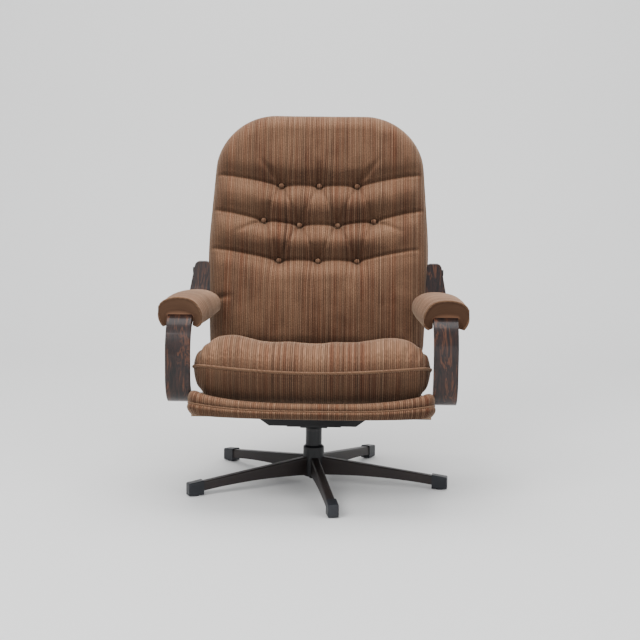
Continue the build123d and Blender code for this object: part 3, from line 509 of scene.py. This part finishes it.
def back_side(x, up, edge):
    return BACK_RIM + (BACK_REAR - BACK_RIM) * dome(edge, 0.030)


back_outline = rounded_outline(
    [(BACK_HALF_FOOT, 0.0), (BACK_HALF_BELLY, 0.330), (BACK_HALF_SHOULDER, BACK_TOP),
     (-BACK_HALF_SHOULDER, BACK_TOP), (-BACK_HALF_BELLY, 0.330), (-BACK_HALF_FOOT, 0.0)],
    [BACK_FOOT_ROUND, 1.2, BACK_CORNER, BACK_CORNER, 1.2, BACK_FOOT_ROUND])


def button_pull(x, up):
    """Sideways shift of the stripes where the buttons gather the fabric."""
    shift = 0.0
    for bx, bu in BUTTONS:
        reach = math.hypot(x - bx, (up - bu) * 0.6)
        shift += (x - bx) * 0.30 * bump(reach, 0.030)
    return x + shift


def drawn_in(point, scale):
    """A point of the back's outline drawn in towards the back's middle, as x and height."""
    return point.x * scale, (point.y - BACK_MIDDLE) * scale + BACK_MIDDLE


def make_backrest():
    middle = Vector((0.0, BACK_MIDDLE))
    verts, faces, flats = pillow(back_outline, middle, 150, back_point, back_front, back_side)
    stripes = [(button_pull(x, up), up, 0.0) for x, up in flats]
    front = mesh_piece("backrest_upholstery", verts, faces, FABRIC, "backrest", stripes=stripes)
    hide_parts("back_cushion")

    def rear_face(x, up, edge):
        return REAR_PAD_OUTER - 0.018 * (1 - dome(edge, 0.026)) + 0.001 * soft_noise(x, up, 0.12, 5.0)

    def rear_inner(x, up, edge):
        return REAR_PAD_INNER

    inset = [Vector(drawn_in(p, REAR_PAD_SCALE)) for p in back_outline]
    verts, faces, flats = pillow(inset, middle, 50, back_point, rear_inner, rear_face)
    stripes = [(x, up, 0.3) for x, up in flats]
    rear = mesh_piece("backrest_rear", verts, faces, FABRIC, "backrest", stripes=stripes)
    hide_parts("back_rear_pad")
    for name, scale, depth in (("back_welt_front", 0.998, BACK_RIM), ("back_welt_rear", 0.982, 0.1085)):
        path = [back_point(*drawn_in(p, scale), depth) for p in back_outline[::3]]
        verts, faces = tube(path, 0.0032, 8, closed=True)
        mesh_piece(name, verts, faces, PIPING, "backrest", stripes=cord_stripes(verts, 0.0008))


def make_buttons():
    turn = [2 * math.pi * k / BUTTON_SIDES for k in range(BUTTON_SIDES)]
    all_verts, all_faces, stripes = [], [], []
    for bx, bu in BUTTONS:
        rings = []
        for height, radius in BUTTON_SECTION:
            depth = BUTTON_SINK + height
            rings.append([back_point(bx + radius * math.cos(a), bu + radius * math.sin(a), depth)
                          for a in turn])
        verts, faces = loft(rings)
        start = len(all_verts)
        all_verts += verts
        all_faces += [tuple(i + start for i in face) for face in faces]
        stripes += [(bx * 1.3 + (v.x - bx) * 0.8, 0.2 + bu, 0.0) for v in verts]
    buttons = mesh_piece("tufting_buttons", all_verts, all_faces, FABRIC, "backrest",
                         stripes=stripes, subdivide=1)
    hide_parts("back_buttons")


# ---------------------------------------------------------------- seat cushion
SEAT_SEAM = 0.112
SEAT_TOP = 0.193
SEAT_BOTTOM = 0.0365
SEAT_HALF = 0.3095
SEAT_MIDDLE = 0.215
seat_outline = rounded_outline(
    [(SEAT_HALF - 0.002, 0.052), (SEAT_HALF, 0.250), (SEAT_HALF - 0.004, 0.440), (-SEAT_HALF + 0.004, 0.440),
     (-SEAT_HALF, 0.250), (-SEAT_HALF + 0.002, 0.052), (-0.150, 0.004), (0.0, -0.010), (0.150, 0.004)],
    [0.065, 0.6, 0.055, 0.055, 0.6, 0.065, 0.25, 0.5, 0.25])


def seam_height(x, along):
    """The side seam hangs lowest at the front's middle."""
    front = max(0.0, 1.0 - max(0.0, along) / 0.30)
    return SEAT_SEAM + 0.004 + 0.020 * front * min(1.0, (abs(x) / 0.29) ** 2) - 0.003 * front


def seat_crest(x, along):
    """The loose cover's swell across the cushion: two side lobes and small rises between dips."""
    fade = max(0.25, 1.0 - max(0.0, along) / 0.40)
    lobes = 0.024 * (bump(abs(x) - 0.215, 0.070))
    ripple = 0.0042 * bump(abs(x) - 0.060, 0.028)
    return (lobes + ripple) * fade


def gather_share(x):
    """The cover is gathered at the seam towards its two sides only."""
    return min(1.0, max(0.0, (abs(x) - 0.16) / 0.08))


def seat_top(x, along, edge):
    rise = (SEAT_TOP - seam_height(x, along)) * dome(edge, 0.088)
    pucker = 0.0042 * math.sin(abs(x) * 300 + 3 * soft_noise(x, along, 0.05, 2.0))
    gather = pucker * bump(edge - 0.012, 0.018) * gather_share(x)
    wave = 0.0035 * soft_noise(x, along, 0.11, 1.7) + 0.0010 * soft_noise(x, along, 0.035, 6.2)
    return seam_height(x, along) + rise + (seat_crest(x, along) + wave) * dome(edge, 0.07) + gather


def seat_under(x, along, edge):
    drop = (seam_height(x, along) - SEAT_BOTTOM) * dome(edge, 0.078)
    pucker = 0.0024 * math.sin(abs(x) * 290) * bump(edge - 0.010, 0.014) * gather_share(x)
    return seam_height(x, along) - drop + pucker


def make_seat():
    middle = Vector((0.0, SEAT_MIDDLE))
    verts, faces, flats = pillow(seat_outline, middle, 110, seat_point, seat_top, seat_under)
    stripes = [(x, v.y * 0.6 - v.z, 0.7) for (x, _), v in zip(flats, verts)]
    cushion = mesh_piece("seat_upholstery", verts, faces, FABRIC, "seat", stripes=stripes)
    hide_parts("seat_cushion")
    path = [seat_point(p.x * 1.001, (p.y - SEAT_MIDDLE) * 1.003 + SEAT_MIDDLE, seam_height(p.x, p.y))
            for p in seat_outline[::2]]
    verts, faces = tube(path, 0.0040, 10, closed=True)
    mesh_piece("seat_piping", verts, faces, PIPING, "seat", stripes=cord_stripes(verts, 0.0009))


# ---------------------------------------------------------------- platform upholstery
PLATFORM_SIDE = 0.3128           # beside the arms
PLATFORM_CORNER = 0.3145         # bulging corners in front of the arms
PLATFORM_CORNER_RADIUS = 0.046
PLATFORM_END = 0.5220


def ease(value):
    value = min(1.0, max(0.0, value))
    return value * value * (3 - 2 * value)


def platform_path():
    """The platform's edge from the middle of the rear, round the left and front, back to where it began."""
    left = [Vector((-PLATFORM_SIDE * k / 24, PLATFORM_END)) for k in range(24)]
    for i in range(60):
        along = PLATFORM_END - 0.0077 * i
        flare = (PLATFORM_CORNER - PLATFORM_SIDE) * ease((0.105 - along) / 0.035)
        left.append(Vector((-PLATFORM_SIDE - flare, along)))
    corner = Vector((-PLATFORM_CORNER + PLATFORM_CORNER_RADIUS, left[-1].y))
    for k in range(1, 13):
        turn = math.pi + math.radians(70) * k / 12
        left.append(corner + Vector((math.cos(turn), math.sin(turn))) * PLATFORM_CORNER_RADIUS)
    start = left[-1]
    for k in range(1, 32):
        x = start.x * (1 - k / 32)
        left.append(Vector((x, start.y * (x / start.x) ** 2 - 0.004 * (1 - (x / start.x) ** 2))))
    return left + [Vector((0.0, -0.004))] + [Vector((-p.x, p.y)) for p in reversed(left)]


def platform_section(x, along):
    """Underside height, top height, bulge and depth of the wrapped edge at a point on it."""
    on_rail = ease((abs(x) - 0.288) / 0.008)
    outward = max(min(1.0, abs(x) / 0.310) ** 3.2, ease((along - 0.2) / 0.1) * on_rail)
    side = ease((along - 0.070) / 0.060)
    rear = ease((along - 0.516) / 0.005) * (1 - on_rail)
    top = 0.0375 + 0.0290 * outward - 0.0080 * side - 0.015 * rear
    bottom = -0.0040 + 0.0025 * outward + 0.0045 * outward * (1 - side)
    return bottom, top, 0.0062 * (1 - side) + 0.0002, 0.034 - 0.012 * side


def make_platform():
    rings, stripes, seam = [], [], []
    travelled = 0.0
    path = platform_path()
    for i, point in enumerate(path):
        before, after = path[max(0, i - 1)], path[min(len(path) - 1, i + 1)]
        ahead = (after - before).normalized()
        inward = Vector((-ahead.y, ahead.x))
        travelled += (point - before).length
        bottom, top, swell, deep = platform_section(point.x, point.y)
        rise = top - bottom
        shape = ((deep, 0.0), (0.35 * deep, -0.001), (0.0050, 0.002), (-0.35 * swell, 0.16 * rise),
                 (-swell, 0.30 * rise), (-0.75 * swell, 0.44 * rise), (-0.10 * swell, 0.50 * rise),
                 (-0.55 * swell, 0.56 * rise), (-0.70 * swell, 0.68 * rise), (-0.35 * swell, 0.86 * rise),
                 (0.0045, rise - 0.001), (0.35 * deep, rise), (deep, rise - 0.004))
        ring = []
        for inset, height in shape:
            spot = point + inward * inset
            ring.append(seat_point(spot.x, spot.y, bottom + height))
            stripes.append((travelled, height, 1.4))
        rings.append(ring)
        spot = point - inward * 0.0025
        seam.append(seat_point(spot.x, spot.y, bottom + 0.50 * rise))
    verts, faces = loft(rings)
    stripes += [(0.0, 0.0, 0.0)] * 2
    lip = mesh_piece("platform_upholstery", verts, faces, FABRIC, "seat_frame", stripes=stripes, subdivide=2)
    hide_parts("platform_lip", "side_cover_left", "side_cover_right")
    verts, faces = tube([p for p in seam if abs(p.x) < 0.312 or p.y < -0.330], 0.0024, 8)
    mesh_piece("platform_welt", verts, faces, PIPING, "seat_frame", stripes=cord_stripes(verts, 0.0009))


# ---------------------------------------------------------------- arm pads
STRIP_INNER = 0.3118
STRIP_OUTER = 0.3775
STRIP_BEND = Vector((-0.234, 0.400))     # centre of the upper bend, and its outer radius
STRIP_BEND_RADIUS = 0.105
STRIP_DROP = math.tan(math.radians(2.5))
PAD_STATIONS = 46
PAD_MIDDLE_X = 0.345             # the sections grow and shrink about this point
PAD_MIDDLE_Z = 0.512


def strip_top(y):
    """Height of the wooden strip's upper face under the pad."""
    if y < STRIP_BEND.x:
        return STRIP_BEND.y + math.sqrt(STRIP_BEND_RADIUS ** 2 - (y - STRIP_BEND.x) ** 2)
    return STRIP_BEND.y + STRIP_BEND_RADIUS - STRIP_DROP * (y - STRIP_BEND.x)


def resampled(points, count):
    """`count` points spread evenly along an open line."""
    lengths = [0.0]
    for a, b in zip(points, points[1:]):
        lengths.append(lengths[-1] + math.dist(a, b))
    spread, k = [], 0
    for i in range(count):
        target = lengths[-1] * i / (count - 1)
        while k < len(points) - 2 and lengths[k + 1] < target:
            k += 1
        share = (target - lengths[k]) / (lengths[k + 1] - lengths[k])
        spread.append(tuple(p + (q - p) * share for p, q in zip(points[k], points[k + 1])))
    return spread


def pad_profile(inner, outer, low, top, bed):
    """Cross-section of a pad over its strip, for the +X side: its skin and the slot under it."""
    skin = [(STRIP_INNER - 0.001, low + 0.002), (STRIP_INNER - 0.009, low - 0.001),
            (inner + 0.004, low + 0.002),
            (inner - 0.001, low + 0.012), (inner - 0.002, low + 0.028), (inner + 0.004, low + 0.045),
            (inner + 0.017, top - 0.011), (inner + 0.036, top - 0.002), ((inner + outer) / 2 + 0.004, top),
            (outer - 0.034, top - 0.002), (outer - 0.013, top - 0.009), (outer - 0.001, top - 0.023),
            (outer, low + 0.028), (outer - 0.006, low + 0.010), (outer - 0.015, low - 0.001),
            (STRIP_OUTER + 0.002, low + 0.002)]
    slot = [(STRIP_INNER, low + 0.004), (STRIP_INNER, bed), (STRIP_OUTER, bed), (STRIP_OUTER, low + 0.004)]
    return skin, resampled(slot, len(skin))


def make_arm_pad(side, name):
    box_low, box_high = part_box(f"arm_pad_{name}")
    front_y, rear_y = box_low[1] - 0.002, box_high[1] + 0.010
    rings, stripes = [], []
    for i in range(PAD_STATIONS + 1):
        share = i / PAD_STATIONS
        y = front_y + (rear_y - front_y) * share
        belly = math.sin(math.pi * min(1.0, share * 1.05))
        inner = 0.2890 - 0.019 * share - 0.004 * belly
        outer = 0.4025 + 0.002 * (1 + side) - 0.016 * share + 0.003 * belly
        top = 0.5400 + 0.0070 * belly - 0.013 * share
        low = 0.4650 - 0.002 * share
        skin, slot = pad_profile(inner, outer, low, top, strip_top(y))
        end = max(0.0, (share - 0.90) / 0.10)
        wave = 0.0100 * soft_noise(y, side, 0.035, 4.0)
        grow = 1 - 0.16 * end * end + wave
        ring = []
        for x, z in skin:
            across = PAD_MIDDLE_X + (x - PAD_MIDDLE_X) * grow
            ring.append(Vector((side * across, y, PAD_MIDDLE_Z + (z - PAD_MIDDLE_Z) * grow)))
        ring += [Vector((side * x, y, z)) for x, z in reversed(slot)]
        around = 0.0
        for before, point in zip([ring[0]] + ring, ring):
            around += (point - before).length
            stripes.append((0.30 * y + 0.15 * side, around, 2.0))
        rings.append(ring)
    verts, faces = loft(rings, caps=False)
    size = len(rings[0])
    last = PAD_STATIONS * size
    for k in range(size // 2 - 1):
        faces.append((k, k + 1, size - 2 - k, size - 1 - k))
        faces.append((last + k + 1, last + k, last + size - 1 - k, last + size - 2 - k))
    pad = mesh_piece(f"arm_pad_{name}_upholstery", verts, faces, FABRIC, "seat_frame",
                     stripes=stripes, subdivide=2)
    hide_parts(f"arm_pad_{name}")
    welt = [p + Vector((0.0, -0.0005, 0.0)) for p in rings[0][1:15]]
    verts, faces = tube(welt, 0.0026, 8)
    mesh_piece(f"arm_pad_{name}_welt", verts, faces, PIPING, "seat_frame",
               stripes=cord_stripes(verts, 0.0011), subdivide=1)


# ---------------------------------------------------------------- studio
def make_studio():
    floor_material, tree, shader = new_material("studio_floor")
    shader.inputs["Base Color"].default_value = (0.83, 0.82, 0.80, 1.0)
    shader.inputs["Roughness"].default_value = 0.75
    profile = [(-6.0, 0.0), (2.0, 0.0)]
    for degrees in range(10, 91, 10):
        angle = math.radians(degrees)
        profile.append((2.0 + 1.2 * math.sin(angle), 1.2 - 1.2 * math.cos(angle)))
    profile.append((3.2, 6.0))
    rings = [[Vector((x, y, z)) for y, z in profile] for x in (-9.0, 9.0)]
    verts, faces = loft(rings, closed_ring=False, caps=False)
    mesh = bpy.data.meshes.new("studio_floor")
    mesh.from_pydata([tuple(v) for v in verts], [], faces)
    mesh.polygons.foreach_set("use_smooth", [True] * len(mesh.polygons))
    mesh.materials.append(floor_material)
    floor = bpy.data.objects.new("studio_floor", mesh)
    bpy.context.scene.collection.objects.link(floor)
    lights = (("key", (-2.2, -3.0, 3.2), 2.2, 135.0), ("fill", (3.0, -2.6, 2.2), 2.8, 70.0),
              ("front", (0.3, -4.6, 1.2), 2.4, 22.0), ("top", (0.0, 0.6, 3.8), 3.0, 95.0))
    for name, place, size, power in lights:
        data = bpy.data.lights.new(name, "AREA")
        data.size = size
        data.energy = power
        lamp = bpy.data.objects.new(name, data)
        lamp.location = place
        lamp.rotation_euler = (Vector((0.0, 0.0, 0.5)) - Vector(place)).to_track_quat("-Z", "Y").to_euler()
        bpy.context.scene.collection.objects.link(lamp)
    world = bpy.data.worlds.new("studio")
    world.use_nodes = True
    world.node_tree.nodes["Background"].inputs["Color"].default_value = (0.86, 0.90, 0.96, 1.0)
    world.node_tree.nodes["Background"].inputs["Strength"].default_value = 0.95
    bpy.context.scene.world = world


CAMERA_DISTANCE = 3.664
CAMERA_HEIGHT = 0.933
CAMERA_SIDE = 0.014
CAMERA_TURN = math.radians(1.4)
CAMERA_PITCH = math.radians(7.39)
CAMERA_ROLL = math.radians(0.59)
CAMERA_LENS = 75.4               # millimetres on a 36 mm sensor, from the fit to the photo


def make_camera():
    look = Vector((-math.sin(CAMERA_TURN), math.cos(CAMERA_TURN), 0.0))
    right = Vector((math.cos(CAMERA_TURN), math.sin(CAMERA_TURN), 0.0))
    place = Vector((0.0, COLUMN_Y, CAMERA_HEIGHT)) - look * CAMERA_DISTANCE + right * CAMERA_SIDE
    forward = look * math.cos(CAMERA_PITCH) - Vector((0.0, 0.0, math.sin(CAMERA_PITCH)))
    up = right.cross(forward)
    across = right * math.cos(CAMERA_ROLL) + up * math.sin(CAMERA_ROLL)
    upward = up * math.cos(CAMERA_ROLL) - right * math.sin(CAMERA_ROLL)
    data = bpy.data.cameras.new("view")
    data.lens = CAMERA_LENS
    data.sensor_width = 36.0
    camera = bpy.data.objects.new("view", data)
    camera.matrix_world = Matrix.Translation(place) @ Matrix((across, upward, -forward)).transposed().to_4x4()
    bpy.context.scene.collection.objects.link(camera)
    bpy.context.scene.camera = camera


make_camera()
make_backrest()
make_buttons()
make_seat()
make_platform()
for hand, hand_name in ((-1, "left"), (1, "right")):
    make_arm_pad(hand, hand_name)
make_studio()
